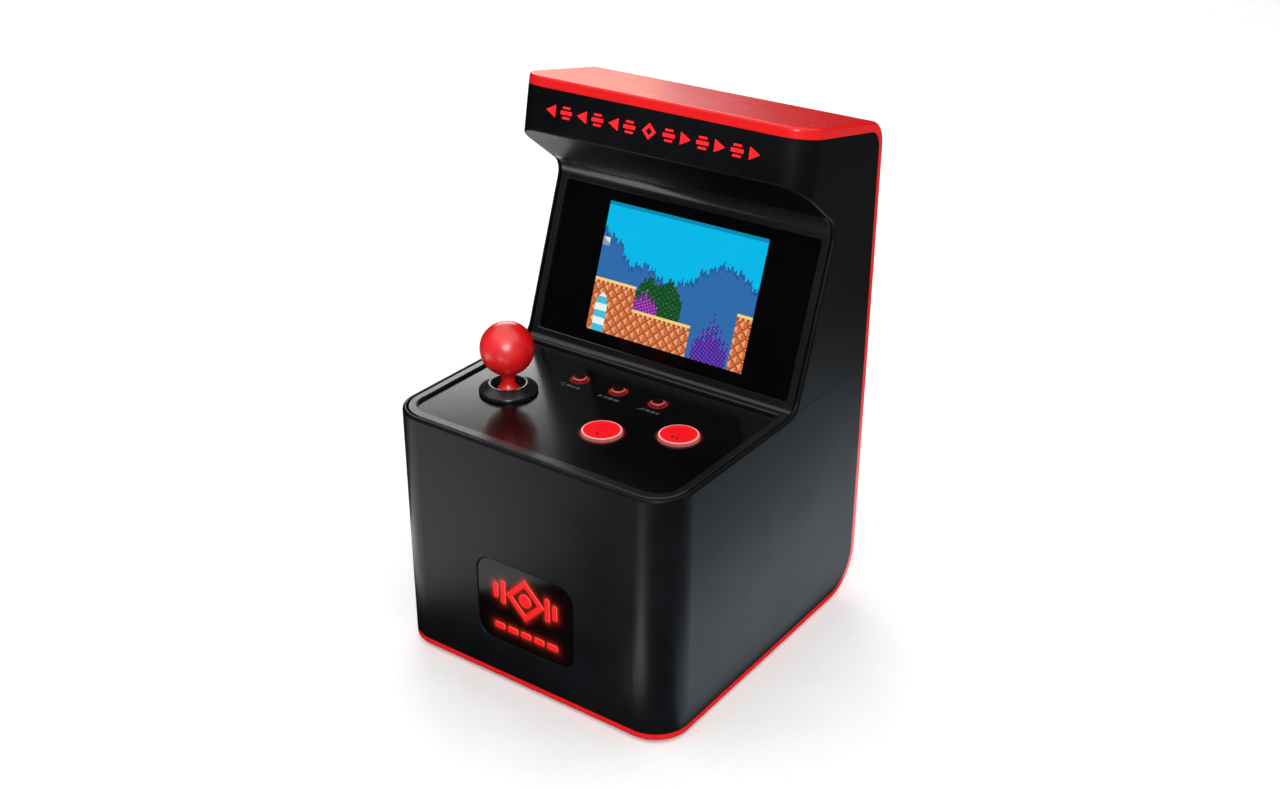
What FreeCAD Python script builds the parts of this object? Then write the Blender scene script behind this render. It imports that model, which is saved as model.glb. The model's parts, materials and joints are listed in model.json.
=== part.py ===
import FreeCAD, Part
import math
import os

# Bartop arcade cabinet for the palm of a hand: black shells in a red C-shaped rear cover.
# Millimetres. X is the width, Y runs from the front (-Y) to the rear, Z is up.
# The cabinet is drawn with z = 0 under its red base, and lifted on its rubber feet at the end.

Vec = FreeCAD.Vector

# ---------------------------------------------------------------- driving dimensions
WIDTH = 88.0
DEPTH = 95.6
DECK_Z = 69.5                # control deck surface
FOOT_Y = 9.5                 # where the screen face meets the deck
HEAD_Y, HEAD_Z = 26.0, 115.5   # where the screen face meets the soffit
SOFFIT_Y, SOFFIT_Z = 6.4, 130.7  # lower edge of the marquee
BROW_Y, BROW_Z = 9.2, 144.8    # upper edge of the marquee
TOP_REAR_Z = 137.8           # height of the sloping top at the rear face
FRONT_CORNER_R = 10.0
MARQUEE_CORNER_R = 8.0
TOP_REAR_R = 7.5
BASE_REAR_R = 12.5
INNER_CORNER_R = 5.0         # concave corners of the side outline
EDGE_R = 0.8                 # rounding of the outer edges

WALL = 2.0                   # black shells
LIP = 1.0                    # shell lip beside the face frame
GROOVE = 0.5                 # gap between the lip and the face frame
BASE_T = 2.0                 # red cover: base, back and top
BACK_T = 2.2
TOP_T = 2.7
SEAM_Z = 70.0                # lower shell below, upper shell above
SEAM_GAP = 0.1
FEET_PROUD, FOOT_PAD_R = 0.8, 3.5   # rubber feet: half their height shows

FRAME_T = 3.4                # face frame, from its rim to the underside of its floor
FOOT_R = 2.0                 # its own concave corner at the deck
FRAME_END = 5.5              # it ends this far up the soffit
PANEL_RECESS = 0.8           # glossy panels sit this far below the rim
PANEL_T = 1.2                # deck panel
BEZEL_T = 0.7                # bezel plate
BAND = 2.2                   # width of the face frame's visible rim
RIM_CHAMFER = 0.2            # on the rim's two edges
PANEL_CHAMFER = 0.12

STICK_X, STICK_Y = -25.8, -20.5
PIVOT_Z = 64.0
BALL_Z, BALL_R = 81.0, 7.2
COLLAR_R, COLLAR_HOLE_R, COLLAR_H = 8.05, 4.3, 2.45
SHAFT_R = 1.85
NECK_R = 2.8                 # where the shaft flares into the ball
STICK_FOOT_R = 3.1           # its flared foot, seen in the collar's hole
TRUNNION_R = 0.9
RUNNING_GAP = 0.05           # radial clearance of pins in their bores

BIG_BUTTONS = {"button_a": (8.1, -25.0), "button_b": (25.1, -15.7)}
SMALL_BUTTONS = {"reset_button": (-14.6, -4.2), "start_button": (-2.0, -4.1), "sound_button": (10.6, -4.0)}
BIG_R, SMALL_R = 5.3, 2.0
BIG_FLANGE_R, SMALL_FLANGE_R = 6.5, 3.0
BIG_STEM_R, SMALL_STEM_R = 2.0, 1.2
FLANGE_T = 1.0
BUTTON_GAP = 0.2             # radial gap between a cap and its hole
BIG_PROUD, SMALL_PROUD = 0.8, 0.9

WINDOW_HALF_X = 40.4         # glossy bezel plate on the screen face
WINDOW_LOW, WINDOW_HIGH = 2.9, 44.9
SCREEN_HALF_X = 25.5         # visible display opening
SCREEN_LOW, SCREEN_HIGH = 6.1, 41.9
GLASS_HALF_X = 27.2
GLASS_LOW, GLASS_HIGH = 4.5, 43.5

LENS_T = 0.37
LCD_T = 1.35
BACKLIGHT_LOW = -6.6         # depths below the screen face, outward positive
DISPLAY_BOARD_LOW, DISPLAY_BOARD_TOP = -9.7, -8.65

BOARD_Z, BOARD_T = 52.0, 1.2   # main board, underside and thickness
BOARD_HALF_X = 38.0
BOARD_FRONT, BOARD_REAR = -43.0, 8.0

BADGE_Z = 23.95
BADGE_W, BADGE_H, BADGE_R = 31.0, 24.1, 4.5
BADGE_RECESS, BADGE_T = 0.35, 0.85
MARK_T = 0.2                 # raised ornaments

CELL_R, CELL_LENGTH = 7.1, 50.0   # four AA cells
CELL_PITCH, CELL_LOW_Z, CELL_Y = 14.4, 21.6, 37.6
IO_Z, IO_T = 77.0, 1.2       # rear socket board, underside and thickness
JACK_X, JACK_R, JACK_DEPTH = -24.0, 1.8, 11.0
USB_X, SWITCH_X = -6.0, 15.0
SWITCH_TRAVEL = 3.0
SPEAKER_Z, SPEAKER_R = 108.0, 14.0

# ---------------------------------------------------------------- derived levels
HALF = WIDTH / 2
FRONT, REAR = -DEPTH / 2, DEPTH / 2
INSIDE_BACK = REAR - BACK_T
NECK_Z = BALL_Z - math.sqrt(BALL_R ** 2 - NECK_R ** 2)
PANEL_TOP = DECK_Z - PANEL_RECESS
FLOOR_TOP = PANEL_TOP - PANEL_T
FLOOR_LOW = DECK_Z - FRAME_T
LENS_TOP = -PANEL_RECESS - BEZEL_T - 0.03
LCD_TOP = LENS_TOP - LENS_T - 0.1
FRAME_HALF_X = HALF - LIP - GROOVE
FRAME_FRONT = FRONT + LIP + GROOVE
BOARD_TOP = BOARD_Z + BOARD_T
MEMBRANE_TOP = BOARD_TOP + 0.8
DOME_TOP = MEMBRANE_TOP + 3.0
IO_TOP = IO_Z + IO_T + 0.02
JACK_Z = IO_TOP + 2.58
USB_Z = IO_TOP + 1.48
KNOB_Z = IO_TOP + 1.88
DOOR_SCREW_Z = CELL_LOW_Z + 3 * CELL_PITCH + 3.0
POST_SPOTS = [(x, y) for x in (-36.0, 36.0) for y in (-38.0, 3.0)]
CASE_SCREW_SPOTS = [(x, z) for x in (-39.2, 39.2) for z in (18.0, 62.0, 80.0, 124.0)]
FOOT_SPOTS = [(x, y) for x in (-32.0, 32.0) for y in (-35.0, 30.0)]
SCREEN_SCREW_SPOTS = [(x, s) for x in (-33.0, 33.0) for s in (8.0, 40.0)]


# ---------------------------------------------------------------- shape helpers
def box(x0, x1, y0, y1, z0, z1):
    return Part.makeBox(x1 - x0, y1 - y0, z1 - z0, Vec(x0, y0, z0))


def rod(start, end, radius):
    """Cylinder from one point to another."""
    way = Vec(*end) - Vec(*start)
    return Part.makeCylinder(radius, way.Length, Vec(*start), way)


def tube(start, end, outer, inner):
    return rod(start, end, outer).cut(rod(start, end, inner))


def outline(corners, place):
    """Face with straight sides, whose corners (u, v, radius) are rounded by tangent arcs."""
    points = [Vec(u, v, 0) for u, v, radius in corners]
    stops = []
    for i, (u, v, radius) in enumerate(corners):
        corner = points[i]
        back = (points[i - 1] - corner).normalize()
        ahead = (points[(i + 1) % len(points)] - corner).normalize()
        if radius == 0:
            stops.append((corner, None, corner))
            continue
        half = back.getAngle(ahead) / 2
        run = radius / math.tan(half)
        inward = (back + ahead).normalize()
        middle = corner + inward * (radius / math.sin(half) - radius)
        stops.append((corner + back * run, middle, corner + ahead * run))
    edges = []
    for i, (start, middle, end) in enumerate(stops):
        if middle is not None:
            edges.append(Part.Arc(place(start), place(middle), place(end)).toShape())
        following = stops[(i + 1) % len(stops)][0]
        if (following - end).Length > 1e-6:
            edges.append(Part.LineSegment(place(end), place(following)).toShape())
    return Part.Face(Part.Wire(edges))


def side_prism(corners, half_x):
    """Solid with a side outline in (y, z), as wide as the two half widths."""
    face = outline(corners, lambda p: Vec(-half_x, p.x, p.y))
    return face.extrude(Vec(2 * half_x, 0, 0))


def slab(corners, z0, z1):
    """Solid with a plan outline in (x, y), between two heights."""
    face = outline(corners, lambda p: Vec(p.x, p.y, z0))
    return face.extrude(Vec(0, 0, z1 - z0))


def rounded(x0, x1, y0, y1, radius):
    return [(x0, y0, radius), (x1, y0, radius), (x1, y1, radius), (x0, y1, radius)]


def joined(shapes):
    first, rest = shapes[0], shapes[1:]
    return first.fuse(rest).removeSplitter()


def group(shapes):
    return Part.makeCompound(shapes)


def turned(section, centre):
    """Solid turned about a vertical axis from an (radius, z) outline with corner radii."""
    face = outline(section, lambda p: Vec(centre[0] + p.x, centre[1], p.y))
    return face.revolve(Vec(centre[0], centre[1], 0), Vec(0, 0, 1), 360)


def sloped(origin, lean):
    """Placement of a flat layout (x, up the face, outward) on a face that leans back."""
    return FreeCAD.Placement(Vec(*origin), FreeCAD.Rotation(Vec(1, 0, 0), 90 - lean))


def placed(shape, placement):
    moved = shape.copy()
    moved.Placement = placement.multiply(shape.Placement)
    return moved


SCREEN_LEAN = math.degrees(math.atan2(HEAD_Y - FOOT_Y, HEAD_Z - DECK_Z))
MARQUEE_LEAN = math.degrees(math.atan2(BROW_Y - SOFFIT_Y, BROW_Z - SOFFIT_Z))
MARQUEE_LENGTH = math.hypot(BROW_Y - SOFFIT_Y, BROW_Z - SOFFIT_Z)
TOP_SLOPE = (TOP_REAR_Z - BROW_Z) / (REAR - BROW_Y)
ON_SCREEN = sloped((0, FOOT_Y, DECK_Z), SCREEN_LEAN)
ON_MARQUEE = sloped((0, SOFFIT_Y, SOFFIT_Z), MARQUEE_LEAN)
ON_FRONT = sloped((0, FRONT, 0), 0)


# ---------------------------------------------------------------- cabinet envelope
def cabinet_corners(foot_r):
    return [
        (FRONT, 0, 0),
        (FRONT, DECK_Z, 0),
        (FOOT_Y, DECK_Z, foot_r),
        (HEAD_Y, HEAD_Z, INNER_CORNER_R),
        (SOFFIT_Y, SOFFIT_Z, 0),
        (BROW_Y, BROW_Z, 0),
        (REAR, TOP_REAR_Z, TOP_REAR_R),
        (REAR, 0, BASE_REAR_R),
    ]


def envelope(inset):
    """The cabinet's outer form, or the same form with every face moved inward."""
    half_x = HALF - inset
    face = outline(cabinet_corners(INNER_CORNER_R), lambda p: Vec(-half_x, p.x, p.y))
    if inset:
        face = face.makeOffset2D(-inset, 2)
    solid = face.extrude(Vec(2 * half_x, 0, 0))
    front_y = FRONT + inset

    def upright(edge, low, high):
        span = edge.BoundBox
        at_side = span.XLength < 0.01 and abs(abs(span.Center.x) - half_x) < 0.01
        return at_side and low < span.ZMin and span.ZMax < high and span.ZLength > 9

    front_uprights = [e for e in solid.Edges if upright(e, -1, 75)]
    deck_corners = [e for e in front_uprights if abs(e.BoundBox.Center.y - front_y) < 0.01]
    solid = solid.makeFillet(FRONT_CORNER_R - inset, deck_corners)
    marquee = [e for e in solid.Edges if upright(e, 120, 150) and e.BoundBox.YMax < BROW_Y + 2 * inset + 0.1]
    return solid.makeFillet(MARQUEE_CORNER_R - inset, marquee)


def soften(solid):
    """Round the sharp outer edges, and leave the edges across the screen's corners alone."""
    def outer_edge(edge):
        span = edge.BoundBox
        centre = span.Center
        on_side = span.XLength < 0.01 and abs(abs(centre.x) - HALF) < 0.01
        under_base = abs(span.ZMax) < 0.01 and centre.y < BASE_REAR_R
        deck_front = abs(span.ZMin - DECK_Z) < 0.01 and centre.y < FRONT + FRONT_CORNER_R
        brow = centre.z > SOFFIT_Z - 4 and centre.y < BROW_Y + 5 and span.XLength > 1
        return on_side or under_base or deck_front or brow

    return solid.makeFillet(EDGE_R, [e for e in solid.Edges if outer_edge(e)])


def core(gap):
    """Space that the red cover wraps round at the base, the back and the top."""
    drop = (TOP_T + gap) * math.hypot(1, TOP_SLOPE)
    ahead = FRONT - 20
    back = INSIDE_BACK - gap
    corners = [
        (ahead, BASE_T + gap, 0),
        (back, BASE_T + gap, BASE_REAR_R - BASE_T),
        (back, BROW_Z + TOP_SLOPE * (back - BROW_Y) - drop, TOP_REAR_R - BACK_T),
        (ahead, BROW_Z + TOP_SLOPE * (ahead - BROW_Y) - drop, 0),
    ]
    return side_prism(corners, HALF + 10)


def face_layer(half_x, front_y, corner_r, foot_r, end_gap):
    """Layer under the deck and the screen face, as thick as the face frame."""
    profile = outline(cabinet_corners(foot_r), lambda p: Vec(-half_x, p.x, p.y))
    ring = profile.cut(profile.makeOffset2D(-FRAME_T, 2)).extrude(Vec(2 * half_x, 0, 0))
    way = Vec(0, SOFFIT_Y - HEAD_Y, SOFFIT_Z - HEAD_Z).normalize()
    end = Vec(0, HEAD_Y, HEAD_Z) + way * (FRAME_END + end_gap)
    outward = Vec(0, -way.z, way.y) * -1
    tip, root = end + outward * -6, end + outward * 6
    if tip.z > root.z:
        tip, root = root, tip
    region = side_prism([
        (front_y, DECK_Z - 8, 0),
        (front_y, DECK_Z + 5, 0),
        (FOOT_Y - 4, DECK_Z + 5, 0),
        (tip.y, tip.z, 0),
        (root.y, root.z, 0),
        (REAR - 12, HEAD_Z, 0),
        (REAR - 12, DECK_Z - 8, 0),
    ], half_x)
    plan = slab([(-half_x, front_y, corner_r), (half_x, front_y, corner_r),
                 (half_x, REAR, 0), (-half_x, REAR, 0)], DECK_Z - 10, BROW_Z)
    return ring.common(region).common(plan)


OUTER = soften(envelope(0))
CAVITY = envelope(WALL)
POCKET = [face_layer(HALF - LIP, FRONT + LIP, FRONT_CORNER_R - LIP, foot_r, SEAM_GAP)
          for foot_r in (FOOT_R, INNER_CORNER_R)]


# ---------------------------------------------------------------- casings
def grille_spots():
    """Speaker holes in rings round a centre hole."""
    spots = [(0.0, 0.0)]
    for ring in range(1, 5):
        for k in range(6 * ring):
            turn = 2 * math.pi * k / (6 * ring)
            spots.append((2.7 * ring * math.cos(turn), 2.7 * ring * math.sin(turn)))
    return spots


def battery_opening(clearance, y0, y1):
    """Rounded rectangle in the back, seen along Y."""
    half_x = CELL_LENGTH / 2 + 4.0 - clearance
    low = CELL_LOW_Z - CELL_R - 0.3 + clearance
    high = CELL_LOW_Z + 3 * CELL_PITCH + CELL_R + 0.6 - clearance
    face = outline(rounded(-half_x, half_x, low, high, 2.5), lambda p: Vec(p.x, y0, p.y))
    return face.extrude(Vec(0, y1 - y0, 0))


def rear_cover():
    cover = OUTER.cut(core(0))
    cuts = [battery_opening(0, INSIDE_BACK - 1, REAR + 1)]
    for x, z in grille_spots():
        cuts.append(rod((x, INSIDE_BACK - 1, SPEAKER_Z + z), (x, REAR + 1, SPEAKER_Z + z), 0.8))
    for x, z in CASE_SCREW_SPOTS:
        cuts.append(rod((x, INSIDE_BACK - 1, z), (x, REAR + 1, z), 1.2))
        cuts.append(rod((x, REAR - 1.3, z), (x, REAR + 1, z), 2.2))
    for x, y in FOOT_SPOTS:
        cuts.append(rod((x, y, -1), (x, y, FEET_PROUD), FOOT_PAD_R + 0.1))
    cuts.append(rod((JACK_X, INSIDE_BACK - 1, JACK_Z), (JACK_X, REAR + 1, JACK_Z), 3.1))
    cuts.append(box(USB_X - 4.2, USB_X + 4.2, INSIDE_BACK - 1, REAR + 1, USB_Z - 1.7, USB_Z + 1.7))
    cuts.append(box(SWITCH_X - 4.0, SWITCH_X + 4.0, INSIDE_BACK - 1, REAR + 1, KNOB_Z - 1.2, KNOB_Z + 1.2))
    return cover.cut(cuts)


def screw_posts(spots):
    """Posts for the case screws, joined to the side walls."""
    posts = []
    for x, z in spots:
        posts.append(rod((x, INSIDE_BACK - 0.1, z), (x, INSIDE_BACK - 12, z), 3.0))
    return posts


def shell(low, high, spots):
    """One black shell: side walls with their lip, and the front face at that height."""
    slice_box = box(-HALF - 1, HALF + 1, FRONT - 1, REAR + 1, low, high)
    skin = OUTER.common(core(SEAM_GAP)).common(slice_box)
    walls = skin.cut(CAVITY).cut(POCKET)
    bosses = [post.common(skin) for post in screw_posts(spots)]
    body = joined([walls] + bosses)
    bores = [rod((x, INSIDE_BACK + 1, z), (x, INSIDE_BACK - 9, z), 0.9) for x, z in spots]
    return body.cut(bores)


def lower_shell():
    body = shell(-1, SEAM_Z - SEAM_GAP / 2, [s for s in CASE_SCREW_SPOTS if s[1] < SEAM_Z])
    cuts = flared(badge_outline, -BADGE_RECESS - BADGE_T - 0.05, 0)
    cuts.append(slab(rounded(-12, 12, BADGE_Z - 9, BADGE_Z + 9, 2), -3, 1))
    return body.cut([placed(tool, ON_FRONT) for tool in cuts])


def upper_shell():
    return shell(SEAM_Z + SEAM_GAP / 2, BROW_Z + 5, [s for s in CASE_SCREW_SPOTS if s[1] > SEAM_Z])


def rim_edges(frame):
    """Outer edges of the face frame's visible rim, from the deck's front round to the soffit."""
    profile = outline(cabinet_corners(FOOT_R), lambda p: Vec(0, p.x, p.y)).OuterWire

    def on_rim(edge):
        span = edge.BoundBox
        middle = edge.valueAt((edge.FirstParameter + edge.LastParameter) / 2)
        at_profile = profile.distToShape(Part.Vertex(0, middle.y, middle.z))[0] < 0.01
        at_side = span.XLength < 0.001 and abs(abs(middle.x) - FRAME_HALF_X) < 0.001
        at_front = span.ZLength < 0.001 and middle.y < FRAME_FRONT + FRONT_CORNER_R
        return at_profile and (at_side or at_front)

    return [e for e in frame.Edges if on_rim(e)]


def flared(make_outline, low, face_level):
    """Cutting tools for a pocket with a chamfered mouth: the pocket, and the flare at its mouth."""
    pocket = make_outline(0.1, low, face_level + 1)
    flare = make_outline(0.1 + RIM_CHAMFER, face_level - RIM_CHAMFER, face_level + 1)
    foot = [e for e in flare.Edges if abs(e.BoundBox.ZMax + RIM_CHAMFER - face_level) < 0.001]
    return [pocket, flare.makeChamfer(RIM_CHAMFER - 0.001, foot)]


def chamfered(panel, level, size):
    """Panel with the edges of its top face chamfered; its walls are upright."""
    return panel.makeChamfer(size, [e for e in panel.Edges if abs(e.BoundBox.ZMin - level) < 0.001])


def face_frame():
    """Rim and floor under the deck panel and the bezel plate, one moulding."""
    frame = face_layer(FRAME_HALF_X, FRAME_FRONT, FRONT_CORNER_R - LIP - GROOVE, FOOT_R, 0)
    frame = frame.makeChamfer(RIM_CHAMFER, rim_edges(frame))
    cuts = flared(deck_outline, FLOOR_TOP, DECK_Z)
    cuts += [placed(tool, ON_SCREEN) for tool in flared(window_outline, -PANEL_RECESS - BEZEL_T, 0)]
    cuts.append(placed(glass_outline(0.1, -FRAME_T - 1, 0), ON_SCREEN))
    cuts.append(rod((STICK_X, STICK_Y, FLOOR_LOW - 1), (STICK_X, STICK_Y, DECK_Z), 7.0))
    for (x, y), radius in button_holes():
        cuts.append(rod((x, y, FLOOR_LOW - 1), (x, y, DECK_Z), radius))
    posts = [rod((x, y, BOARD_TOP), (x, y, FLOOR_LOW + 0.5), 2.4) for x, y in POST_SPOTS]
    inward = Vec(0, 0, -1)
    for x, s in SCREEN_SCREW_SPOTS:
        post = Part.makeCylinder(2.0, 5.5, Vec(x, s, -FRAME_T + 0.3), inward)
        posts.append(placed(post, ON_SCREEN))
    body = joined([frame.cut(cuts)] + posts)
    bores = [rod((x, y, BOARD_TOP - 1), (x, y, BOARD_TOP + 7), 0.9) for x, y in POST_SPOTS]
    for x, s in SCREEN_SCREW_SPOTS:
        bores.append(placed(Part.makeCylinder(0.7, 4.5, Vec(x, s, -FRAME_T - 5.5), Vec(0, 0, 1)), ON_SCREEN))
    return body.cut(bores)


# ---------------------------------------------------------------- control deck
def deck_outline(clearance, z0, z1):
    half_x = FRAME_HALF_X - BAND + clearance
    front_y = FRAME_FRONT + BAND + 0.5 - clearance
    rear_y = FOOT_Y - 1.9 + clearance
    front_corners = [(-half_x, front_y, 6.0), (half_x, front_y, 6.0)]
    return slab(front_corners + [(half_x, rear_y, 0.8), (-half_x, rear_y, 0.8)], z0, z1)


def button_holes():
    holes = [(spot, BIG_R + BUTTON_GAP) for spot in BIG_BUTTONS.values()]
    return holes + [(spot, SMALL_R + BUTTON_GAP) for spot in SMALL_BUTTONS.values()]


def deck_panel():
    panel = chamfered(deck_outline(0, FLOOR_TOP, PANEL_TOP), PANEL_TOP, PANEL_CHAMFER)
    holes = [rod((x, y, 0), (x, y, DECK_Z), radius) for (x, y), radius in button_holes()]
    holes.append(rod((STICK_X, STICK_Y, 0), (STICK_X, STICK_Y, DECK_Z), 7.0))
    return panel.cut(holes)


def button(spot, cap_r, flange_r, stem_r, crown):
    """Cap with a given crown, a retaining flange under the deck, and a stem to its rubber dome."""
    flange_top = FLOOR_LOW - 0.1
    section = [
        (0, DOME_TOP + 0.05, 0),
        (stem_r, DOME_TOP + 0.05, 0),
        (stem_r, flange_top - FLANGE_T, 0),
        (flange_r, flange_top - FLANGE_T, 0),
        (flange_r, flange_top, 0),
        (cap_r, flange_top, 0),
    ]
    return turned(section + crown, spot)


def big_button(spot):
    """Flat-topped cap with a raised rim."""
    top = PANEL_TOP + BIG_PROUD
    crown = [
        (BIG_R, top, 0.45),
        (BIG_R * 0.86, top, 0.3),
        (BIG_R * 0.80, top - 0.25, 0),
        (0, top - 0.25, 0),
    ]
    return button(spot, BIG_R, BIG_FLANGE_R, BIG_STEM_R, crown)


def small_button(spot):
    """Domed cap."""
    top = PANEL_TOP + SMALL_PROUD
    crown = [(SMALL_R, top, SMALL_R * 0.55), (0, top + 0.15, 0)]
    return button(spot, SMALL_R, SMALL_FLANGE_R, SMALL_STEM_R, crown)


def button_membrane():
    sheet = slab([(-19, -33, 2), (34, -33, 2), (34, 1.5, 2), (-19, 1.5, 2)], BOARD_TOP + 0.05, MEMBRANE_TOP)
    return sheet.cut(rod((STICK_X, STICK_Y, 0), (STICK_X, STICK_Y, DECK_Z), 9.4))


def dome(spot, foot_r, head_r):
    section = [
        (0, MEMBRANE_TOP + 0.02, 0),
        (foot_r, MEMBRANE_TOP + 0.02, 0),
        (head_r, DOME_TOP - 0.8, 0),
        (head_r, DOME_TOP, 0),
        (0, DOME_TOP, 0),
    ]
    return turned(section, spot)


def button_domes():
    domes = [dome(spot, 3.6, 2.4) for spot in BIG_BUTTONS.values()]
    return group(domes + [dome(spot, 2.4, 1.5) for spot in SMALL_BUTTONS.values()])


def button_leds():
    chips = []
    for x, y in BIG_BUTTONS.values():
        for side in (-6.0, 6.0):
            chip = box(-1, 1, -0.7, 0.7, MEMBRANE_TOP + 0.02, MEMBRANE_TOP + 0.8)
            chips.append(chip.translated(Vec(x + side, y, 0)))
    return group(chips)


# ---------------------------------------------------------------- joystick
def at_stick(x, y, z):
    return (STICK_X + x, STICK_Y + y, z)


def stick_ball():
    """Ball with a flat seat for the shaft's neck, and a bore."""
    ball = Part.makeSphere(BALL_R, Vec(*at_stick(0, 0, BALL_Z)))
    seat = rod(at_stick(0, 0, BALL_Z - BALL_R - 1), at_stick(0, 0, NECK_Z + 0.02), NECK_R + 1)
    bore = rod(at_stick(0, 0, BALL_Z - BALL_R - 1), at_stick(0, 0, BALL_Z), SHAFT_R - 0.4)
    return ball.cut([seat, bore])


def stick_shaft():
    """Lever with a flared foot, the hub and its two trunnions along Y, and the tail."""
    lever = turned([
        (0, 55.0, 0),
        (1.2, 55.0, 0),
        (1.2, PIVOT_Z - 2.5, 0),
        (2.4, PIVOT_Z - 1.0, 0),
        (2.4, 68.2, 0),
        (STICK_FOOT_R, 68.8, 0),
        (STICK_FOOT_R, 69.4, 0),
        (SHAFT_R, 71.0, 2.0),
        (SHAFT_R, NECK_Z - 1.3, 1.5),
        (NECK_R, NECK_Z, 0),
        (SHAFT_R - 0.45, NECK_Z, 0),
        (SHAFT_R - 0.45, BALL_Z - 0.1, 0),
        (0, BALL_Z - 0.1, 0),
    ], (STICK_X, STICK_Y))
    hub = Part.makeSphere(3.4, Vec(*at_stick(0, 0, PIVOT_Z)))
    trunnions = rod(at_stick(0, -6.1, PIVOT_Z), at_stick(0, 6.1, PIVOT_Z), TRUNNION_R)
    return joined([lever, hub, trunnions])


def stick_spring():
    """Centring spring on the tail, between the hub and the actuator, as a stack of rings."""
    rings = [Part.makeTorus(1.9, 0.25, Vec(*at_stick(0, 0, 56.3 + 0.9 * turn))) for turn in range(5)]
    return group(rings)


def stick_actuator():
    return tube(at_stick(0, 0, 55.0), at_stick(0, 0, 56.0), 2.3, 1.2 + 0.02)


def stick_dust_disc():
    return tube(at_stick(0, 0, 66.9), at_stick(0, 0, 67.3), 5.2, 2.4 + 0.02)


def gimbal_ring():
    """Ring that tilts about X in the housing, and carries the stick's trunnions along Y."""
    ring = tube(at_stick(0, 0, PIVOT_Z - 1.2), at_stick(0, 0, PIVOT_Z + 1.2), 6.2, 4.4)
    pins = []
    for side in (-1, 1):
        pins.append(rod(at_stick(side * 5.5, 0, PIVOT_Z), at_stick(side * 8.3, 0, PIVOT_Z), TRUNNION_R))
    bore = rod(at_stick(0, -8, PIVOT_Z), at_stick(0, 8, PIVOT_Z), TRUNNION_R + RUNNING_GAP)
    return joined([ring] + pins).cut(bore)


def stick_housing():
    """Cup on the main board, with bearing holes for the gimbal ring."""
    cup = rod(at_stick(0, 0, BOARD_TOP + 0.02), at_stick(0, 0, FLOOR_LOW - 0.3), 8.6)
    hollow = rod(at_stick(0, 0, BOARD_TOP + 1.0), at_stick(0, 0, DECK_Z), 6.7)
    bore = rod(at_stick(-9, 0, PIVOT_Z), at_stick(9, 0, PIVOT_Z), TRUNNION_R + RUNNING_GAP)
    return cup.cut([hollow, bore])


def stick_switches():
    switches = []
    for turn in range(4):
        switch = box(4.5, 6.35, -1.5, 1.5, BOARD_TOP + 1.02, BOARD_TOP + 3.4)
        switch.rotate(Vec(0, 0, 0), Vec(0, 0, 1), 90 * turn)
        switches.append(switch.translated(Vec(STICK_X, STICK_Y, 0)))
    return group(switches)


def stick_collar():
    """Low cone on the deck, with a tucked foot and a spigot in the deck panel's hole."""
    top = PANEL_TOP + COLLAR_H
    return turned([
        (COLLAR_HOLE_R + 0.25, PANEL_TOP + 0.01, 0),
        (6.2, PANEL_TOP + 0.01, 0),
        (6.2, FLOOR_TOP, 0),
        (6.9, FLOOR_TOP, 0),
        (6.9, PANEL_TOP + 0.01, 0),
        (COLLAR_R - 0.4, PANEL_TOP + 0.01, 0),
        (COLLAR_R, PANEL_TOP + 0.85, 0.7),
        (COLLAR_HOLE_R + 0.9, top, 0.7),
        (COLLAR_HOLE_R, top, 0.5),
    ], (STICK_X, STICK_Y))


# ---------------------------------------------------------------- screen
def window_outline(clearance, z0, z1):
    half_x = WINDOW_HALF_X - 0.1 + clearance
    return slab(rounded(-half_x, half_x, WINDOW_LOW - clearance, WINDOW_HIGH + clearance, 0.8), z0, z1)


def glass_outline(clearance, z0, z1):
    return box(-GLASS_HALF_X - clearance, GLASS_HALF_X + clearance,
               GLASS_LOW - clearance, GLASS_HIGH + clearance, z0, z1)


def bezel_plate():
    plate = window_outline(0, -PANEL_RECESS - BEZEL_T, -PANEL_RECESS)
    plate = chamfered(plate, -PANEL_RECESS, PANEL_CHAMFER)
    opening = slab(rounded(-SCREEN_HALF_X, SCREEN_HALF_X, SCREEN_LOW, SCREEN_HIGH, 0.3), -5, 1)
    return placed(plate.cut(opening), ON_SCREEN)


def screen_lens():
    return placed(glass_outline(0, LENS_TOP - LENS_T, LENS_TOP), ON_SCREEN)


def lcd_panel():
    return placed(glass_outline(0, LCD_TOP - LCD_T, LCD_TOP), ON_SCREEN)


def lcd_backlight():
    return placed(glass_outline(-0.3, BACKLIGHT_LOW, LCD_TOP - LCD_T - 0.05), ON_SCREEN)


def lcd_frame():
    """Metal tray round the display's glass and backlight."""
    half_x = GLASS_HALF_X + 2.2
    tray = box(-half_x, half_x, GLASS_LOW - 1.6, GLASS_HIGH + 1.3, BACKLIGHT_LOW - 0.6, -FRAME_T - 0.05)
    return placed(tray.cut(glass_outline(0.1, BACKLIGHT_LOW - 0.1, 0)), ON_SCREEN)


def display_board():
    board = slab(rounded(-36, 36, 4.0, 44.0, 1.0), DISPLAY_BOARD_LOW, DISPLAY_BOARD_TOP)
    holes = [Part.makeCylinder(0.9, 4, Vec(x, s, -11)) for x, s in SCREEN_SCREW_SPOTS]
    return placed(board.cut(holes), ON_SCREEN)


def lcd_ribbon():
    """Flat flexible cable from the display board down to the rear edge of the main board."""
    return side_prism([
        (19.2, 69.9, 0),
        (19.45, 69.9, 0),
        (19.45, 50.9, 2.25),
        (2.0, 50.9, 0),
        (2.0, 51.15, 0),
        (19.2, 51.15, 2.0),
    ], 8.0)


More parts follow.
